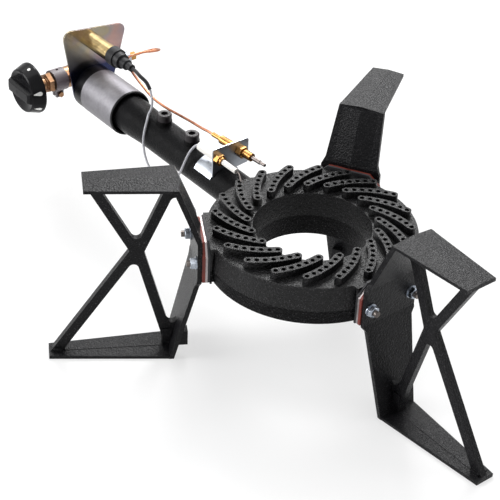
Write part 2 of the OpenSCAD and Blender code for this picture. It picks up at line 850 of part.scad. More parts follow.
// Bracket with its two probes
module probe_bracket() {
    color("#c9ced6")
    difference() {
        union() {
            along_tube() intersection() {
                tube_span(bracket_d, bracket_rear, tube_r + saddle_t, tube_r);
                translate([0, 0, bracket_d - 1]) linear_extrude(bracket_rear - bracket_d + 2)
                    polygon([[0, 0], [60, 30], [60, 60], [-60, 60], [-60, 30]]);
            }
            along_tube() translate([0, 0, bracket_d - bracket_t / 2]) difference() {
                linear_extrude(bracket_t, center = true) rounded_polygon([
                    [bracket_left, bracket_foot - 3], [bracket_left, bracket_top],
                    [bracket_right, bracket_top], [bracket_right, bracket_foot + 1]
                ], [1, 1.5, 3, 1.5]);
                cylinder(r = tube_r + fit, h = 5, center = true);
            }
        }
        along_electrode() span(bracket_d - 5, bracket_d + 5, 3.6);
        along_thermocouple() span(-6, 6, 3.9);
        bracket_screw_place() cylinder(r = 2.1, h = 30, center = true);
    }
}

module bracket_screw_place() {
    translate([0, -bracket_d - 17, tube_z]) rotate([0, -22, 0])
        translate([0, 0, tube_r + saddle_t]) children();
}

module bracket_screw() {
    color("#9a9ca2") bracket_screw_place() difference() {
        union() {
            translate([0, 0, -saddle_t]) cylinder(r = 2, h = saddle_t + 1);
            cylinder(r = 3.6, h = 2.2);
        }
        translate([-4, -0.5, 1.4]) cube([8, 1, 2]);
    }
}

module electrode_ceramic() {
    color("#e8e6e2") along_electrode() difference() {
        union() {
            span(bracket_d, electrode_rear, ceramic_rear_r);
            span(bracket_d - 9, bracket_d + 1, 3.5);
            span(electrode_front, bracket_d - 8, ceramic_front_r);
        }
        span(electrode_front - 1, electrode_front + 4, 0.75);
    }
}

module electrode_nut() {
    color("#c08a3e") along_electrode() difference() {
        union() {
            hex_span(bracket_d - bracket_t - 6, bracket_d - bracket_t, 10.5);
            span(bracket_d - bracket_t - 9, bracket_d - bracket_t - 5, 4.3);
        }
        span(bracket_d - bracket_t - 7.6, bracket_d, 3.5 + fit);
        span(bracket_d - bracket_t - 10, bracket_d - bracket_t - 7.5, ceramic_front_r + fit);
    }
}

module electrode_rod() {
    color("#b8b8bc") sweep([
        [electrode_x, -electrode_front - 4, probe_z], [electrode_x, -electrode_front + 2, probe_z],
        [electrode_x + 0.8, -electrode_front + 5, probe_z], [electrode_x + 2.6, -electrode_front + 8.5, probe_z],
        [electrode_x + 4.4, -electrode_front + 11.2, probe_z + 0.3],
        [electrode_x + 6, -electrode_front + 13.4, probe_z + 0.8],
        [electrode_x + 8.6, -electrode_front + 18.4, probe_z + 1]
    ], 0.75, [0, 0, 1]);
}

module thermocouple_body() {
    color("#c48f42") along_thermocouple() difference() {
        union() {
            span(24, tc_rear, 2.4);
            span(0, 25, 4.4);
            span(-tc_front + 19, 1, 3.4);
            span(-tc_front + 19, -10, 4.3);
        }
        span(-tc_front + 18, -tc_front + 24, tip_r);
    }
}

module thermocouple_nut() {
    color("#a87832") along_thermocouple() difference() {
        hex_span(-bracket_t - 7, -bracket_t, 11);
        span(-bracket_t - 8, 1, 3.4 + fit);
    }
}

module thermocouple_tip() {
    color("#a9a6a6") along_thermocouple() {
        span(-tc_front + 7, -tc_front + 24, tip_r);
        span(-tc_front, -tc_front + 8, 1.6);
    }
}

module thermocouple_lead() {
    color("#b8654a") sweep(smooth(LEAD_ROUTE), lead_r, [0, 0, 1]);
}

// Valve
module valve_body() {
    color("#b8884a")
    difference() {
        union() {
            along_valve() {
                span(barrel_in, barrel_out, barrel_r);
                span(barrel_out - 1, collar_out, collar_r);
            }
            along_tube() span(plate_front - 8, valve_d, spigot_r);
            along_tube() hex_span(plate_back, valve_d - barrel_r + 3, 21);
            translate([inlet_x, -valve_d, tube_z]) rotate([90, 0, 0])
                hex_span(0, barrel_r + 3, 22);
        }
        along_valve() {
            span(seat_x, collar_out + 1, plug_r + fit);
            span(seat_x - 3, seat_x + 1, 4.5);
            span(barrel_in - 1, seat_x - 3, 8.5);
        }
        along_tube() span(plate_front - 9, valve_d, 3.5);
        translate([inlet_x, -valve_d, tube_z]) rotate([90, 0, 0]) span(0, barrel_r + 4, 5);
        along_tube() span(plate_front - 9, plate_front - 1, 5 + fit);
    }
}

module inlet_nipple() {
    color("#c69a58") translate([inlet_x, -valve_d, tube_z]) rotate([90, 0, 0]) difference() {
        union() {
            hex_span(barrel_r + 3, inlet_hex, 22);
            span(inlet_hex - 1, inlet_end, inlet_r);
        }
        span(barrel_r, inlet_end + 1, 5);
    }
}

module injector() {
    color("#caa055") along_tube() difference() {
        union() {
            span(plate_front - 13, plate_front - 2, 5);
            hex_span(plate_front - 13, plate_front - 8, 12);
            span(plate_front - 17, plate_front - 12, 3);
        }
        span(plate_front - 15, plate_front - 1, 2.5);
        span(plate_front - 18, plate_front - 14, 0.7);
    }
}

module stem_section(r, from, to) {
    difference() {
        span(from, to, r);
        translate([-r - stem_flat - r, -2 * r, from - 1]) cube([2 * r, 4 * r, to - from + 2]);
    }
}

module valve_plug() {
    color("#9c7a4a") difference() {
        along_valve() span(plug_in, plug_out, plug_r);
        along_valve() span(plug_in - 1, 6, 4.5);
        along_valve() stem_section(stem_r + fit, 5, plug_out + 1);
        along_tube() span(valve_d - plug_r - 1, valve_d, 2.5);
    }
}

module valve_stem() {
    color("#a09a8c") along_valve() {
        stem_section(stem_r, stem_in, knob_rim + 7);
        span(seat_x - 2.8, stem_in + 1, pin_r);
        span(cap_x - 2.7, cap_x - 0.2, spring_r + 0.5);
    }
}

module stem_spring() {
    color("#b0b0b0") along_valve() translate([0, 0, plug_out])
        coil(spring_r - 0.4, 0.4, cap_x - 2.7 - plug_out, 5);
}

module bonnet_seal() {
    color("#141414") along_valve() tube_span(collar_out, bonnet_in, collar_r - 1.5, 6);
}

module bonnet_nut() {
    color("#b98c4c") along_valve() difference() {
        union() {
            hex_span(bonnet_in, bonnet_ring, bonnet_flats);
            span(bonnet_ring - 1, bonnet_ring + 1.5, 8.4);
            span(bonnet_ring + 1, bonnet_out, 6.8);
        }
        span(bonnet_in - 1, cap_x, 5.6);
        span(cap_x - 1, bonnet_out + 1, stem_r + 0.3);
    }
}

module valve_strap() {
    color("#8a8288") along_valve() difference() {
        union() {
            span(barrel_out + 0.2, collar_out - 0.2, collar_r + 1.6);
            translate([collar_r - 2, -4.5, barrel_out + 3]) cube([10.5, 9, 9]);
        }
        span(barrel_out - 1, collar_out + 1, collar_r);
        translate([collar_r - 3, -1.2, barrel_out]) cube([13, 2.4, 17]);
        translate([strap_screw_up, 0, barrel_out + 7.5]) rotate([90, 0, 0])
            cylinder(r = 1.8, h = 30, center = true);
        translate([-collar_r, 0, (barrel_out + collar_out) / 2]) rotate([0, 90, 0])
            cylinder(r = 1.6, h = 8, center = true);
    }
}

module strap_screw() {
    color("#c07a44") along_valve() translate([strap_screw_up, 0, barrel_out + 7.5])
        rotate([90, 0, 0]) {
            translate([0, 0, -6]) cylinder(r = 1.7, h = 13);
            translate([0, 0, 4.5]) cylinder(r = 3.2, h = 2.4);
            translate([0, 0, -7.5]) cylinder(r = 3.3, h = 3, $fn = 6);
        }
}

module safety_disc() {
    color("#33312f") along_valve() {
        span(seat_x - 3 - disc_t - 0.1, seat_x - 3 - 0.1, disc_r);
        span(magnet_core + push_travel + 1.8, seat_x - 5, 1.5);
        span(magnet_core + push_travel + 0.4, magnet_core + push_travel + 2, 4.5);
    }
}

module magnet_unit() {
    color("#bfc2c6") along_valve() difference() {
        union() {
            span(barrel_in - 6, barrel_in, 9.5);
            span(barrel_in - 1, barrel_in + 4, 8.5 - fit);
            span(magnet_out, barrel_in - 5, 7);
        }
        span(magnet_core, barrel_in + 5, 5.2);
        span(magnet_out - 1, magnet_out + 6, 3);
    }
}

module lead_nut() {
    color("#c28c3c") along_valve() {
        hex_span(lead_nut_out, magnet_out, 9);
        span(magnet_out - 1, magnet_out + 5, 3 - fit);
    }
}

// Knob
module knob_skirt() {
    rotate_extrude() polygon([
        [0, knob_face - 3], [stem_r + 4, knob_face - 3], [knob_r - 8, knob_face - 2],
        [knob_r - 2.6, knob_rim], [knob_r, knob_rim], [knob_r, knob_rim + 2],
        [knob_r - 4.2, knob_face + 2], [knob_r - 5.7, knob_face + 3],
        [knob_r - 8, knob_face + 2.4], [knob_r - 15, knob_face], [0, knob_face]
    ]);
}

module knob_bar() {
    intersection() {
        rotate([90, 0, 0]) linear_extrude(2 * knob_r, center = true)
            polygon([[-8, knob_face - 1], [8, knob_face - 1], [5, knob_front], [-5, knob_front]]);
        rotate_extrude() polygon([
            [0, knob_face - 1], [knob_r - 5, knob_face - 1], [knob_r - 4.4, knob_face + 3],
            [knob_r - 6, knob_front - 2], [knob_r - 9, knob_front - 0.4], [0, knob_front]
        ]);
    }
}

module knob() {
    color("#141416") along_valve() difference() {
        union() {
            knob_skirt();
            knob_bar();
            span(knob_back, knob_face - 1, stem_r + 4);
        }
        stem_section(stem_r + fit, knob_back - 1, knob_rim + 7.2);
    }
}

module leg_front() {
    leg(LEG_ANGLES[0]);
}

module leg_left() {
    leg(LEG_ANGLES[1]);
}

module leg_right() {
    leg(LEG_ANGLES[2]);
}

burner_ring();
mixing_tube();
tube_plugs();
leg_front();
leg_left();
leg_right();
leg_backings();
leg_spacers();
leg_gaskets();
leg_studs();
leg_washers();
leg_nuts();
air_sleeve();
foil_label();
mounting_plate();
plate_locknut();
igniter_case();
igniter_nut();
igniter_striker();
igniter_spring();
igniter_button();
igniter_boot();
wire_sleeve();
ignition_wire();
probe_bracket();
bracket_screw();
electrode_ceramic();
electrode_nut();
electrode_rod();
thermocouple_body();
thermocouple_nut();
thermocouple_tip();
thermocouple_lead();
valve_body();
inlet_nipple();
injector();
valve_plug();
valve_stem();
stem_spring();
bonnet_seal();
bonnet_nut();
valve_strap();
strap_screw();
safety_disc();
magnet_unit();
lead_nut();
knob();
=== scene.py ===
import json
import math

import bpy
from mathutils import Matrix, Vector


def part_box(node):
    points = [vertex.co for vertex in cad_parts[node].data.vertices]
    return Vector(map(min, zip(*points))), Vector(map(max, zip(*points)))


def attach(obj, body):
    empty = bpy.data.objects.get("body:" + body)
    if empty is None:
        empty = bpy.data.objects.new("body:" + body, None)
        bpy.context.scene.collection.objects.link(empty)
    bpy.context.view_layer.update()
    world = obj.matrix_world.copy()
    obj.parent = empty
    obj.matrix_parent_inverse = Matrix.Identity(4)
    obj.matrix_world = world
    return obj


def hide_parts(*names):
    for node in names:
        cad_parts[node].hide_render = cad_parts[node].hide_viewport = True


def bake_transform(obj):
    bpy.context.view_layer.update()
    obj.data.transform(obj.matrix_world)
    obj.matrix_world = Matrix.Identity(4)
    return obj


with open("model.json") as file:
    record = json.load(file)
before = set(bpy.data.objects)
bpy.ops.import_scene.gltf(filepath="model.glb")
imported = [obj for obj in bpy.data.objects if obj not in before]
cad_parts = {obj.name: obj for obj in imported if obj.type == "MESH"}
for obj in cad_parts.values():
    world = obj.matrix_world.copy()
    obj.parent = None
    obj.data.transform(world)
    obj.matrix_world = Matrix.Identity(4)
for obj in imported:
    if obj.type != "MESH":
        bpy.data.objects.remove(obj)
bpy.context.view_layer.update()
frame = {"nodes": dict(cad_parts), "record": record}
NODES = frame["nodes"]
MM = 0.001


# Camera, fitted to the photograph
IMAGE_SIDE = 500
FOCAL_PIXELS = 1553.44
CAMERA_AZIMUTH = math.radians(50.59)
CAMERA_ELEVATION = math.radians(34.96)
CAMERA_ROLL = math.radians(-2.59)
CAMERA_DISTANCE = 1.5916
CAMERA_TARGET = Vector((-14.23, -108.39, 37.91)) * MM
SENSOR_WIDTH = 36
NEAREST_SHOWN, FARTHEST_SHOWN = 0.05, 20


def make_camera():
    data = bpy.data.cameras.new("camera")
    data.sensor_width = SENSOR_WIDTH
    data.lens = data.sensor_width * FOCAL_PIXELS / IMAGE_SIDE
    data.clip_start = NEAREST_SHOWN
    data.clip_end = FARTHEST_SHOWN
    flat = math.cos(CAMERA_ELEVATION)
    forward = -Vector((
        math.cos(CAMERA_AZIMUTH) * flat, math.sin(CAMERA_AZIMUTH) * flat, math.sin(CAMERA_ELEVATION),
    ))
    right = forward.cross(Vector((0, 0, 1))).normalized()
    down = forward.cross(right)
    c, s = math.cos(CAMERA_ROLL), math.sin(CAMERA_ROLL)
    right, down = c * right + s * down, c * down - s * right
    camera = bpy.data.objects.new("camera", data)
    rotation = Matrix((right, -down, -forward)).transposed().to_4x4()
    camera.matrix_world = Matrix.Translation(CAMERA_TARGET - forward * CAMERA_DISTANCE) @ rotation
    bpy.context.scene.collection.objects.link(camera)
    bpy.context.scene.camera = camera


make_camera()


# Node materials
NOISE_MIDDLE = (0.3, 0.7)
BEVEL_SAMPLES = 4


def new_material(name, metallic=0.0, specular=0.5):
    material = bpy.data.materials.new(name)
    material.use_nodes = True
    tree = material.node_tree
    shader = tree.nodes["Principled BSDF"]
    shader.inputs["Metallic"].default_value = metallic
    shader.inputs["Specular IOR Level"].default_value = specular
    return material, tree, shader


def object_coordinates(tree, stretch=(1, 1, 1)):
    place = tree.nodes.new("ShaderNodeTexCoord")
    mapping = tree.nodes.new("ShaderNodeMapping")
    mapping.inputs["Scale"].default_value = stretch
    tree.links.new(place.outputs["Object"], mapping.inputs["Vector"])
    return mapping.outputs["Vector"]


def noise(tree, size_mm, detail=3.0, roughness=0.5, stretch=(1, 1, 1), distortion=0.0):
    node = tree.nodes.new("ShaderNodeTexNoise")
    node.inputs["Scale"].default_value = 1 / (size_mm * MM)
    node.inputs["Detail"].default_value = detail
    node.inputs["Roughness"].default_value = roughness
    node.inputs["Distortion"].default_value = distortion
    tree.links.new(object_coordinates(tree, stretch), node.inputs["Vector"])
    return node.outputs["Fac"]


def ramp(tree, source, stops):
    node = tree.nodes.new("ShaderNodeValToRGB")
    elements = node.color_ramp.elements
    while len(elements) < len(stops):
        elements.new(0.5)
    for element, (place, colour) in zip(elements, stops):
        element.position = place
        element.color = (*colour, 1)
    tree.links.new(source, node.inputs["Fac"])
    return node.outputs["Color"]


def map_range(tree, source, from_low, from_high, to_low, to_high):
    node = tree.nodes.new("ShaderNodeMapRange")
    node.inputs["From Min"].default_value = from_low
    node.inputs["From Max"].default_value = from_high
    node.inputs["To Min"].default_value = to_low
    node.inputs["To Max"].default_value = to_high
    tree.links.new(source, node.inputs["Value"])
    return node.outputs["Result"]


def spread(tree, source, low, high):
    """Takes the middle of a noise's range to low and high."""
    return map_range(tree, source, *NOISE_MIDDLE, low, high)


def combine(tree, operation, first, second):
    node = tree.nodes.new("ShaderNodeMath")
    node.operation = operation
    tree.links.new(first, node.inputs[0])
    tree.links.new(second, node.inputs[1])
    return node.outputs["Value"]


def mix_values(tree, share, first, second):
    node = tree.nodes.new("ShaderNodeMix")
    node.data_type = "FLOAT"
    node.inputs["Factor"].default_value = share
    tree.links.new(first, node.inputs["A"])
    tree.links.new(second, node.inputs["B"])
    return node.outputs["Result"]


def mix_in_colour(tree, share, ground, colour):
    """The ground's colour, with a fixed colour over it where share is high."""
    node = tree.nodes.new("ShaderNodeMixRGB")
    node.inputs["Color2"].default_value = (*colour, 1)
    tree.links.new(share, node.inputs["Fac"])
    tree.links.new(ground, node.inputs["Color1"])
    return node.outputs["Color"]


def coordinate(tree, axis):
    node = tree.nodes.new("ShaderNodeSeparateXYZ")
    tree.links.new(object_coordinates(tree), node.inputs["Vector"])
    return node.outputs[axis]


def bump(tree, shader, source, depth_mm, edge_mm, strength=1.0):
    """Relief from a height, on edges that are rounded by edge_mm."""
    node = tree.nodes.new("ShaderNodeBump")
    node.inputs["Strength"].default_value = strength
    node.inputs["Distance"].default_value = depth_mm * MM
    tree.links.new(source, node.inputs["Height"])
    edge = tree.nodes.new("ShaderNodeBevel")
    edge.samples = BEVEL_SAMPLES
    edge.inputs["Radius"].default_value = edge_mm * MM
    tree.links.new(edge.outputs["Normal"], node.inputs["Normal"])
    tree.links.new(node.outputs["Normal"], shader.inputs["Normal"])


GRAIN_SHARE = 0.45
GRAIN_DARKEST, GRAIN_LIGHTEST = 0.36, 0.66


def grained(name, dark, light, rough, grain_mm, depth_mm, patch_mm=25, edge_mm=0.4, stretch=(1, 1, 1),
            **finish):
    """A material with a fine grain, broad patches of tone and softened edges."""
    material, tree, shader = new_material(name, **finish)
    grain = noise(tree, grain_mm, detail=4, roughness=0.6, stretch=stretch)
    patches = noise(tree, patch_mm, detail=3, roughness=0.6)
    mixed = mix_values(tree, GRAIN_SHARE, patches, grain)
    colour = ramp(tree, mixed, [(GRAIN_DARKEST, dark), (GRAIN_LIGHTEST, light)])
    tree.links.new(colour, shader.inputs["Base Color"])
    tree.links.new(spread(tree, patches, *rough), shader.inputs["Roughness"])
    bump(tree, shader, grain, depth_mm, edge_mm)
    return material


CELL_SMOOTHNESS = 0.7
TOOTH_SIZE = 0.6
TOOTH_SHARE = 0.6
CAST_PATCH_MM = 30
CAST_DARKEST, CAST_LIGHTEST = 0.34, 0.68
# Painted glints: pale spots painted into the cast skins' colour as highlights
PAINTED_GLINT_MM = 1.0
PAINTED_GLINT_START, PAINTED_GLINT_FULL = 0.60, 0.71
PAINTED_GLINT_TINT = (1.0, 0.97, 1.03)
CAST_EDGE_MM = 0.7
CAST_RELIEF = 0.85
# Painted shade: below the parting level the gloss is cut to this share, so the lower band reads darker
PAINTED_SHADE_GLOSS_SHARE = 0.2
PAINTED_SHADE_HALF_BAND_MM = 0.5


def cast_iron(name, dark, light, rough, grain_mm, depth_mm, specular, painted_glints, shade_below=None):
    """Sand-cast skin: round grains, a finer tooth between them, and painted glints: pale spots painted into
    the colour as highlights.
    """
    material, tree, shader = new_material(name, specular=specular)
    cells = tree.nodes.new("ShaderNodeTexVoronoi")
    cells.feature = "SMOOTH_F1"
    cells.inputs["Scale"].default_value = 1 / (grain_mm * MM)
    cells.inputs["Smoothness"].default_value = CELL_SMOOTHNESS
    tree.links.new(object_coordinates(tree), cells.inputs["Vector"])
    tooth = noise(tree, grain_mm * TOOTH_SIZE, detail=4, roughness=0.65)
    height = combine(tree, "SUBTRACT", tooth, cells.outputs["Distance"])
    patches = noise(tree, CAST_PATCH_MM, detail=4, roughness=0.6)
    mixed = mix_values(tree, TOOTH_SHARE, patches, tooth)
    ground = ramp(tree, mixed, [(CAST_DARKEST, dark), (CAST_LIGHTEST, light)])
    # Painted highlight: pale glints mixed into the base colour
    glint_pattern = noise(tree, PAINTED_GLINT_MM, detail=2, roughness=0.6)
    painted_glint_mask = map_range(tree, glint_pattern, PAINTED_GLINT_START, PAINTED_GLINT_FULL, 0.0, 1.0)
    colour = mix_in_colour(tree, painted_glint_mask, ground, [painted_glints * tint for tint in PAINTED_GLINT_TINT])
    # Painted shade: the gloss is cut below the parting level, so the lower band reads darker
    if shade_below is not None:
        tree.links.new(painted_shade_gloss(tree, specular, shade_below), shader.inputs["Specular IOR Level"])
    tree.links.new(colour, shader.inputs["Base Color"])
    tree.links.new(spread(tree, mixed, *rough), shader.inputs["Roughness"])
    bump(tree, shader, height, depth_mm, CAST_EDGE_MM, CAST_RELIEF)
    return material


def painted_shade_gloss(tree, specular, level_mm):
    """Painted shade: a gloss that falls off under a level, so the band below it reads darker."""
    low = (level_mm - PAINTED_SHADE_HALF_BAND_MM) * MM
    high = (level_mm + PAINTED_SHADE_HALF_BAND_MM) * MM
    return map_range(tree, coordinate(tree, "Z"), low, high, specular * PAINTED_SHADE_GLOSS_SHARE, specular)


PLATE_DRIFT_MM = 55
PLATE_BRUSH_MM = 1.2
PLATE_BRUSH = (1, 1, 14)
PLATE_ROUGHNESS = (0.12, 0.26)
PLATE_HALF_WIDTH = 0.05
PLATE_BAND_SHIFT = 0.28
# Colour bands across the plate: partly passivation tints, partly painted reflections
PLATE_TINTS_AND_REFLECTIONS = [
    (0.20, (0.32, 0.31, 0.31)),
    (0.34, (0.37, 0.35, 0.29)),
    (0.46, (0.43, 0.36, 0.24)),
    (0.56, (0.38, 0.33, 0.32)),
    (0.68, (0.52, 0.33, 0.29)),
    (0.80, (0.37, 0.29, 0.30)),
    (0.92, (0.16, 0.15, 0.18)),
]
# The plate's lower part: blue, partly tint and partly painted reflection
PLATE_BLUE_AND_REFLECTION = (0.03, 0.035, 0.08)
BLUE_UP_TO, BLUE_GONE_AT = 0.134, 0.156


def passivated_plate(name):
    """Zinc plate with colour bands that drift across it, partly the tints of its passivation and partly
    painted reflections; its lower part is blue, partly tint and partly painted reflection.
    """
    material, tree, shader = new_material(name, metallic=1.0)
    drift = noise(tree, PLATE_DRIFT_MM, detail=2, distortion=0.9)
    across = map_range(tree, coordinate(tree, "X"), PLATE_HALF_WIDTH, -PLATE_HALF_WIDTH,
                       -PLATE_BAND_SHIFT, PLATE_BAND_SHIFT)
    tints_and_reflections = ramp(tree, combine(tree, "ADD", drift, across), PLATE_TINTS_AND_REFLECTIONS)
    low = map_range(tree, coordinate(tree, "Z"), BLUE_UP_TO, BLUE_GONE_AT, 1.0, 0.0)
    tree.links.new(mix_in_colour(tree, low, tints_and_reflections, PLATE_BLUE_AND_REFLECTION), shader.inputs["Base Color"])
    brush = noise(tree, PLATE_BRUSH_MM, detail=3, roughness=0.6, stretch=PLATE_BRUSH)
    tree.links.new(spread(tree, brush, *PLATE_ROUGHNESS), shader.inputs["Roughness"])
    bump(tree, shader, brush, depth_mm=0.01, edge_mm=0.4)
    return material


def metal(name, dark, light, rough, brush=(1, 1, 1), grain_mm=1.0, depth_mm=0.015):
    return grained(name, dark, light, rough, grain_mm, depth_mm, patch_mm=9, edge_mm=0.25, stretch=brush,
                   metallic=1.0)


# The level of the casting's parting line, under which the gloss is cut for painted shade
PARTING_HEIGHT = 109.7
# Each skin's speck value is the colour of its painted glints
CAST_SKINS = {
    "cast_black": dict(dark=(0.002, 0.002, 0.002), light=(0.008, 0.008, 0.009), rough=(0.22, 0.36),
                       grain_mm=2.2, depth_mm=0.7, specular=0.22, painted_glints=0.09, shade_below=PARTING_HEIGHT),
    "tube_black": dict(dark=(0.002, 0.002, 0.002), light=(0.006, 0.006, 0.007), rough=(0.22, 0.34),
                       grain_mm=1.6, depth_mm=0.4, specular=0.05, painted_glints=0.025),
    "leg_grey": dict(dark=(0.002, 0.002, 0.003), light=(0.009, 0.009, 0.010), rough=(0.24, 0.38),
                     grain_mm=1.9, depth_mm=0.5, specular=0.13, painted_glints=0.075),
}
METALS = {
    "spacer": dict(dark=(0.26, 0.23, 0.23), light=(0.46, 0.42, 0.42), rough=(0.4, 0.55)),
    "stud": dict(dark=(0.10, 0.085, 0.08), light=(0.26, 0.23, 0.21), rough=(0.3, 0.45)),
    "zinc": dict(dark=(0.22, 0.25, 0.30), light=(0.46, 0.49, 0.54), rough=(0.2, 0.34)),
    "foil": dict(dark=(0.19, 0.185, 0.20), light=(0.25, 0.245, 0.26), rough=(0.46, 0.58),
                 grain_mm=3, depth_mm=0.03),
    "gold_tube": dict(dark=(0.36, 0.26, 0.11), light=(0.60, 0.46, 0.24), rough=(0.16, 0.28),
                      brush=(1, 0.15, 1)),
    "brass": dict(dark=(0.28, 0.13, 0.035), light=(0.50, 0.28, 0.10), rough=(0.22, 0.36)),
    "bronze": dict(dark=(0.20, 0.105, 0.055), light=(0.40, 0.24, 0.14), rough=(0.24, 0.4)),
    "spring_steel": dict(dark=(0.34, 0.34, 0.35), light=(0.52, 0.52, 0.53), rough=(0.2, 0.3)),
    "bracket_steel": dict(dark=(0.36, 0.38, 0.42), light=(0.50, 0.53, 0.57), rough=(0.26, 0.36),
                          brush=(1, 1, 8)),
    "heated_steel": dict(dark=(0.10, 0.085, 0.08), light=(0.24, 0.21, 0.20), rough=(0.3, 0.45)),
    "copper": dict(dark=(0.34, 0.13, 0.07), light=(0.56, 0.25, 0.15), rough=(0.24, 0.36)),
}
PLAIN_SKINS = {
    "plug_black": dict(dark=(0.006, 0.004, 0.005), light=(0.018, 0.014, 0.017), rough=(0.3, 0.45),
                       grain_mm=0.8, depth_mm=0.08, specular=0.3),
    "backing": dict(dark=(0.012, 0.012, 0.014), light=(0.03, 0.03, 0.034), rough=(0.6, 0.8),
                    grain_mm=0.7, depth_mm=0.05),
    "gasket": dict(dark=(0.12, 0.014, 0.010), light=(0.26, 0.04, 0.022), rough=(0.5, 0.7),
                   grain_mm=0.8, depth_mm=0.06),
    "sleeve_black": dict(dark=(0.004, 0.004, 0.005), light=(0.010, 0.010, 0.011), rough=(0.26, 0.38),
                         grain_mm=1.2, depth_mm=0.03, specular=0.15),
    "black_plastic": dict(dark=(0.010, 0.010, 0.011), light=(0.02, 0.02, 0.022), rough=(0.4, 0.5),
                          grain_mm=0.5, depth_mm=0.02),
    "cream_plastic": dict(dark=(0.62, 0.58, 0.5), light=(0.74, 0.7, 0.62), rough=(0.4, 0.5),
                          grain_mm=0.5, depth_mm=0.02),
    "black_rubber": dict(dark=(0.006, 0.006, 0.007), light=(0.014, 0.014, 0.016), rough=(0.4, 0.55),
                         grain_mm=0.7, depth_mm=0.03, specular=0.25),
    "wire_grey": dict(dark=(0.36, 0.36, 0.39), light=(0.50, 0.50, 0.53), rough=(0.35, 0.5),
                      grain_mm=0.8, depth_mm=0.02),
    "porcelain": dict(dark=(0.70, 0.68, 0.64), light=(0.84, 0.83, 0.80), rough=(0.3, 0.42),
                      grain_mm=0.8, depth_mm=0.02),
    "strap_grey": dict(dark=(0.11, 0.092, 0.10), light=(0.19, 0.163, 0.175), rough=(0.4, 0.52),
                       grain_mm=0.8, depth_mm=0.03),
    "knob_black": dict(dark=(0.004, 0.004, 0.005), light=(0.009, 0.009, 0.010), rough=(0.16, 0.24),
                       grain_mm=1.0, depth_mm=0.01, edge_mm=0.8, specular=0.11),
    "pale_mark": dict(dark=(0.68, 0.68, 0.66), light=(0.84, 0.84, 0.82), rough=(0.45, 0.6),
                      grain_mm=0.4, depth_mm=0.01),
}


def make_materials():
    materials = {"passivated": passivated_plate("passivated")}
    for make, recipes in ((cast_iron, CAST_SKINS), (metal, METALS), (grained, PLAIN_SKINS)):
        for name, recipe in recipes.items():
            materials[name] = make(name, **recipe)
    return materials


MATERIALS = make_materials()

# Burnt by the flame, so they don't take the look of their slot
HEATED = ("thermocouple_tip", "electrode_rod")


def paint_nodes():
    for entry in frame["record"]["subparts"]:
        node = entry["node"]
        mesh = NODES[node].data
        mesh.materials.clear()
        mesh.materials.append(MATERIALS["heated_steel" if node in HEATED else entry["material_slot"]])


paint_nodes()


# Making pieces
def mesh_piece(name, points, faces, slot, body="burner", smooth=True, material=None):
    """A mesh that rides on a body. One without a body is left unattached."""
    mesh = bpy.data.meshes.new(name)
    mesh.from_pydata([Vector(p) for p in points], [], faces)
    mesh.validate()
    if smooth:
        mesh.shade_smooth()
    mesh.materials.append(MATERIALS[material or slot])
    piece = bpy.data.objects.new(name, mesh)
    bpy.context.scene.collection.objects.link(piece)
    if body:
        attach(piece, body)
    return piece


def ring_neighbours(rings, around):
    """The numbers of points side by side, in rings of points that each close."""
    return [(i * around + k, i * around + (k + 1) % around) for i in range(rings) for k in range(around)]


CORD_STEPS = 6
CORD_ROUNDNESS = 6


def spline_points(route):
    """Points of a smooth line through the route's points."""
    points = []
    for i in range(len(route) - 1):
        a, b, c, d = (route[min(max(i + k, 0), len(route) - 1)] for k in (-1, 0, 1, 2))
        for step in range(CORD_STEPS):
            t = step / CORD_STEPS
            points.append(0.5 * (2 * b + (c - a) * t + (2 * a - 5 * b + 4 * c - d) * t ** 2
                                 + (3 * b - a - 3 * c + d) * t ** 3))
    return points + [route[-1]]


def tube_curve(name, route_mm, radius_mm, slot, node):
    """A round cord as a curve along the same route as its solid in the model."""
    points = spline_points([Vector(p) * MM for p in route_mm])
    data = bpy.data.curves.new(name, "CURVE")
    data.dimensions = "3D"
    data.bevel_depth = radius_mm * MM
    data.bevel_resolution = CORD_ROUNDNESS
    data.use_fill_caps = True
    spline = data.splines.new("POLY")
    spline.points.add(len(points) - 1)
    for place, point in zip(spline.points, points):
        place.co = (*point, 1)
    spline.use_smooth = True
    data.materials.append(MATERIALS[slot])
    piece = bpy.data.objects.new(name, data)
    bpy.context.scene.collection.objects.link(piece)
    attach(piece, "burner")
    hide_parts(node)
    return piece, points


# Cords: the routes, in mm, are those of the model
WIRE_RADIUS = 1.25
LEAD_RADIUS = 1.4
SHEATH_RADIUS = 2.0
SHEATH_ROUTE = [
    (3, -295, 169.5), (3, -288, 169), (2.5, -281, 166.5), (0, -273.5, 162), (-1, -268, 155.5),
]
WIRE_ROUTE = [
    (-1, -268, 155.5), (0.5, -262, 146.5), (3, -260, 138), (7.5, -259, 132), (13, -254, 128),
    (18.5, -250, 121.5), (21.5, -248, 112.5), (22.5, -246, 104.5), (24, -241, 96.5), (25.5, -233, 90),
    (26.5, -222, 85.5), (27, -209, 84), (26.5, -197, 87), (25.5, -187, 95.5), (24.5, -180, 106.5),
    (23.5, -176, 116), (21, -174, 125), (17.5, -172.5, 133.5), (13.5, -170, 140),
    (10.5, -167, 142.7), (10, -164, 143),
]
LEAD_ROUTE = [
    (-78, -410, 110.5), (-84, -410, 110.5), (-92, -409, 111.5), (-99, -405, 113.5),
    (-102, -399, 116), (-100.5, -392, 119), (-95, -387.5, 121.5), (-87, -386, 123.5),
    (-74, -386, 126), (-61, -385, 127.5), (-51, -381, 128.5), (-43, -372, 130),
    (-36, -358, 132.5), (-28, -342, 136), (-21.5, -322, 137.5), (-18.5, -304, 135.5),
    (-17, -289, 133), (-16.5, -274, 132), (-16.5, -258, 132.5), (-16, -243, 134.5),
    (-15, -228, 137), (-14, -211, 139.5), (-13, -194, 141.5), (-13.2, -182, 142.9),
    (-13.7, -174.8, 143),
]


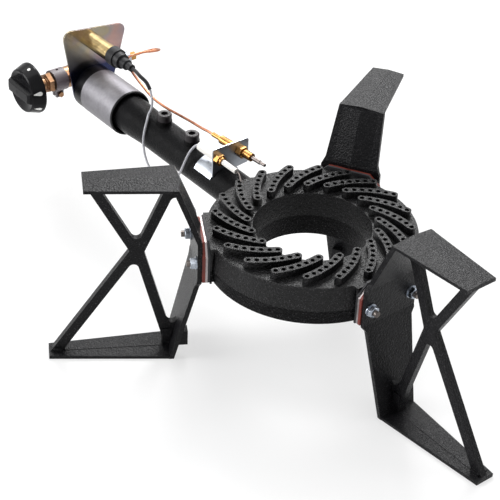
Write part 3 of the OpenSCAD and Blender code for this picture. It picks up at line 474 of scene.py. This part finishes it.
def make_cords():
    tube_curve("sheath_round", SHEATH_ROUTE, SHEATH_RADIUS, "black_rubber", "wire_sleeve")
    wire, points = tube_curve("ignition_wire_round", WIRE_ROUTE, WIRE_RADIUS, "wire_grey", "ignition_wire")
    lead, points = tube_curve("thermocouple_lead_round", LEAD_ROUTE, LEAD_RADIUS, "copper",
                              "thermocouple_lead")


make_cords()


# Threads
THREAD_SIDES = 32
THREAD_STEPS = 8
THREAD_LIFT = 0.03
THREAD_FILL = 0.6
LEG_ANGLES = (90, -30, 210)
STUD_HALF_PITCH = 24.5
STUD_HEIGHT = 115.0
STUD_RADIUS = 3.0
STUD_THREAD_DEPTH = 0.5
NUT_OUTER = 118.2
STUD_END = 121.6
INLET_START = (-26, -430.2, 110.5)


def thread(name, start_mm, direction, radius_mm, pitch_mm, length_mm, slot, depth_mm):
    """A cylinder with a helical thread that fades at its ends, seated on a plain pin of the model."""
    axis = Vector(direction).normalized()
    side = axis.orthogonal().normalized()
    other = axis.cross(side)
    along = max(int(length_mm / pitch_mm * THREAD_STEPS), THREAD_STEPS)
    points = []
    for i in range(along + 1):
        place = length_mm * i / along
        ease = min(1.0, place / pitch_mm, (length_mm - place) / pitch_mm)
        centre = Vector(start_mm) + axis * place
        for k in range(THREAD_SIDES):
            turn = 2 * math.pi * k / THREAD_SIDES
            phase = (place / pitch_mm + k / THREAD_SIDES) % 1.0
            crest = 1 - abs(2 * phase - 1)
            r = radius_mm + THREAD_LIFT + depth_mm * (crest - 0.5) * max(ease, 0) * THREAD_FILL
            points.append((centre + (side * math.cos(turn) + other * math.sin(turn)) * r) * MM)
    faces = [(a, b, b + THREAD_SIDES, a + THREAD_SIDES) for a, b in ring_neighbours(along, THREAD_SIDES)]
    mesh_piece(name, points, faces, slot)


def make_threads():
    for leg, angle in enumerate(LEG_ANGLES):
        out = Vector((math.cos(math.radians(angle)), math.sin(math.radians(angle)), 0))
        along = Vector((-out.y, out.x, 0))
        for side in (-1, 1):
            start = out * NUT_OUTER + along * side * STUD_HALF_PITCH + Vector((0, 0, STUD_HEIGHT))
            thread(f"stud_thread_{leg}_{side + 1}", start, out, STUD_RADIUS, pitch_mm=1.0,
                   length_mm=STUD_END - NUT_OUTER, slot="stud", depth_mm=STUD_THREAD_DEPTH)
    thread("inlet_thread", INLET_START, (0, -1, 0), radius_mm=10.0, pitch_mm=1.5, length_mm=11.6,
           slot="bronze", depth_mm=0.8)


make_threads()


# Springs
SPRING_SIDES = 8
SPRING_STEPS = 24


def spring_coil(name, node, direction, wire_radius_mm, turns):
    """A coil in the place of its solid."""
    low, high = (Vector(corner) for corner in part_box(node))
    axis = Vector(direction)
    side = axis.orthogonal().normalized()
    other = axis.cross(side)
    size = high - low
    length = abs(size.dot(axis))
    wire = wire_radius_mm * MM
    radius = max(span for span, part in zip(size, axis) if part == 0) / 2 - wire
    start = (low + high) / 2 - axis * length / 2
    steps = turns * SPRING_STEPS
    points = []
    for i in range(steps + 1):
        turn = 2 * math.pi * turns * i / steps
        out = side * math.cos(turn) + other * math.sin(turn)
        centre = start + axis * (wire + (length - 2 * wire) * i / steps) + out * radius
        for k in range(SPRING_SIDES):
            bend = 2 * math.pi * k / SPRING_SIDES
            points.append(centre + (out * math.cos(bend) + axis * math.sin(bend)) * wire)
    faces = [(a, a + SPRING_SIDES, b + SPRING_SIDES, b) for a, b in ring_neighbours(steps, SPRING_SIDES)]
    faces.append(tuple(range(SPRING_SIDES)))
    faces.append(tuple(reversed(range(steps * SPRING_SIDES, (steps + 1) * SPRING_SIDES))))
    piece = mesh_piece(name, points, faces, "spring_steel", body=None)
    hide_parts(node)
    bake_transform(piece)


def make_springs():
    spring_coil("stem_spring_coil", "stem_spring", (1, 0, 0), wire_radius_mm=0.4, turns=5)
    spring_coil("igniter_spring_coil", "igniter_spring", (0, -1, 0), wire_radius_mm=0.5, turns=5)


make_springs()


# Marks on the knob's cone
KNOB_AXIS_Y = -410
KNOB_AXIS_Z = 110.5
CONE_LOW = (58.0, 28.5)
CONE_HIGH = (70.0, 24.3)
MARK_ROOT = -0.05
MARK_LIFT = 0.1
DROP_TAPER = 0.35


def on_cone(turn, x, lift):
    """A point at a turn round the knob's axis and a place along it, lifted off the cone."""
    share = (x - CONE_LOW[0]) / (CONE_HIGH[0] - CONE_LOW[0])
    r = CONE_LOW[1] + (CONE_HIGH[1] - CONE_LOW[1]) * share + lift
    return Vector((x, KNOB_AXIS_Y + r * math.cos(turn), KNOB_AXIS_Z + r * math.sin(turn))) * MM


def knob_mark(name, angle, outline):
    """A thin printed shape on the cone, from an outline of (sideways, along x) points in mm."""
    mean_radius = 0.5 * (CONE_LOW[1] + CONE_HIGH[1])
    centre = math.radians(angle)
    n = len(outline)
    mid_s, mid_x = sum(p[0] for p in outline) / n, sum(p[1] for p in outline) / n
    points = [on_cone(centre + s / mean_radius, x, MARK_ROOT) for s, x in outline]
    for share in (1.0, 0.5):
        ring = [(mid_s + (s - mid_s) * share, mid_x + (x - mid_x) * share) for s, x in outline]
        points += [on_cone(centre + s / mean_radius, x, MARK_LIFT) for s, x in ring]
    points.append(on_cone(centre + mid_s / mean_radius, mid_x, MARK_LIFT))
    faces = []
    for k in range(n):
        m = (k + 1) % n
        faces.append((k, m, n + m, n + k))
        faces.append((n + k, n + m, 2 * n + m, 2 * n + k))
        faces.append((2 * n + k, 2 * n + m, 3 * n))
    mesh_piece(name, points, faces, "knob_black", "control", smooth=False, material="pale_mark")


def round_outline(x, radius, count=20):
    return [(radius * math.cos(2 * math.pi * k / count), x + radius * math.sin(2 * math.pi * k / count))
            for k in range(count)]


def drop_outline(x, radius, tip, count=24):
    """A teardrop: round towards the rim and drawn out to a tip."""
    points = []
    for k in range(count):
        turn = 2 * math.pi * k / count
        reach = max(math.sin(turn), 0) ** 2
        width = radius * math.cos(turn) * (1 - DROP_TAPER * reach)
        points.append((width, x + radius * math.sin(turn) + (tip - x - radius) * reach))
    return points


def make_marks():
    knob_mark("mark_off", angle=80, outline=round_outline(x=63, radius=1.8))
    knob_mark("mark_high", angle=13, outline=drop_outline(x=62.5, radius=2.3, tip=69.6))
    knob_mark("mark_low", angle=-32, outline=drop_outline(x=62.0, radius=2.1, tip=68.0))


make_marks()


# Floor, light and background
FLOOR_HALF = 15.0
FLOOR_LEVEL = -0.0003
FLOOR_DARKEST, FLOOR_LIGHTEST = 0.93, 0.96
FLOOR_ROUGHNESS = 0.9
FLOOR_WHITENING = 0.6
AIM = Vector((0, -0.1, 0.1))
WORLD_LIGHT = (0.97, 0.98, 1.0, 1)
WORLD_STRENGTH = 0.15


def shown_rays(tree):
    """One for rays that show a surface as it looks, zero for the rays that light others."""
    ray = tree.nodes.new("ShaderNodeLightPath")
    shown = ray.outputs["Is Camera Ray"]
    for kind in ("Is Glossy Ray", "Is Transmission Ray"):
        shown = combine(tree, "MAXIMUM", shown, ray.outputs[kind])
    return shown


def mix_shaders(tree, share, first, second, output):
    mix = tree.nodes.new("ShaderNodeMixShader")
    tree.links.new(share, mix.inputs["Fac"])
    tree.links.new(first, mix.inputs[1])
    tree.links.new(second, mix.inputs[2])
    tree.links.new(mix.outputs["Shader"], tree.nodes[output].inputs["Surface"])


def whiten(tree, shader, share):
    """Shows the surface nearer to white, with part of its shadows, and leaves its light as it is."""
    white = tree.nodes.new("ShaderNodeEmission")
    part = tree.nodes.new("ShaderNodeMath")
    part.operation = "MULTIPLY"
    part.inputs[1].default_value = share
    tree.links.new(shown_rays(tree), part.inputs[0])
    mix_shaders(tree, part.outputs["Value"], shader.outputs["BSDF"], white.outputs["Emission"],
                "Material Output")


def make_floor():
    corners = [(x * FLOOR_HALF, y * FLOOR_HALF, FLOOR_LEVEL) for x, y in ((-1, -1), (1, -1), (1, 1), (-1, 1))]
    mesh = bpy.data.meshes.new("floor")
    mesh.from_pydata(corners, [], [(0, 1, 2, 3)])
    material, tree, shader = new_material("floor_white", specular=0.1)
    greys = [(0.3, (FLOOR_DARKEST,) * 3), (0.7, (FLOOR_LIGHTEST,) * 3)]
    tree.links.new(ramp(tree, noise(tree, 400, detail=2), greys), shader.inputs["Base Color"])
    shader.inputs["Roughness"].default_value = FLOOR_ROUGHNESS
    whiten(tree, shader, FLOOR_WHITENING)
    mesh.materials.append(material)
    floor = bpy.data.objects.new("floor", mesh)
    bpy.context.scene.collection.objects.link(floor)


def add_light(name, data, place, direction):
    light = bpy.data.objects.new(name, data)
    light.location = place
    light.rotation_mode = "QUATERNION"
    light.rotation_quaternion = direction.to_track_quat("-Z", "Y")
    bpy.context.scene.collection.objects.link(light)


def area_light(name, place, size, power):
    data = bpy.data.lights.new(name, "AREA")
    data.shape = "DISK"
    data.size = size
    data.energy = power
    add_light(name, data, place, AIM - Vector(place))


def sun_light(name, side, strength, spread_degrees):
    """Even light over the whole floor, from one side, with soft shadows."""
    data = bpy.data.lights.new(name, "SUN")
    data.energy = strength
    data.angle = math.radians(spread_degrees)
    add_light(name, data, (0, 0, 0), -Vector(side))


def make_light():
    sun_light("overhead", (-0.3, -0.33, 1.0), strength=2.2, spread_degrees=70)
    area_light("back", (-1.0, -1.1, 1.45), size=0.7, power=25)
    area_light("left", (1.45, -0.95, 0.75), size=1.0, power=24)
    area_light("right", (-1.3, 1.0, 0.9), size=0.6, power=4)


def make_world():
    """A dim surround for the light, shown as plain white."""
    world = bpy.data.worlds.new("world")
    world.use_nodes = True
    tree = world.node_tree
    light = tree.nodes["Background"]
    light.inputs["Color"].default_value = WORLD_LIGHT
    light.inputs["Strength"].default_value = WORLD_STRENGTH
    seen = tree.nodes.new("ShaderNodeBackground")
    seen.inputs["Color"].default_value = (1, 1, 1, 1)
    seen.inputs["Strength"].default_value = 1.0
    mix_shaders(tree, shown_rays(tree), light.outputs["Background"], seen.outputs["Background"],
                "World Output")
    bpy.context.scene.world = world
    bpy.context.scene.view_settings.view_transform = "Standard"


make_floor()
make_light()
make_world()
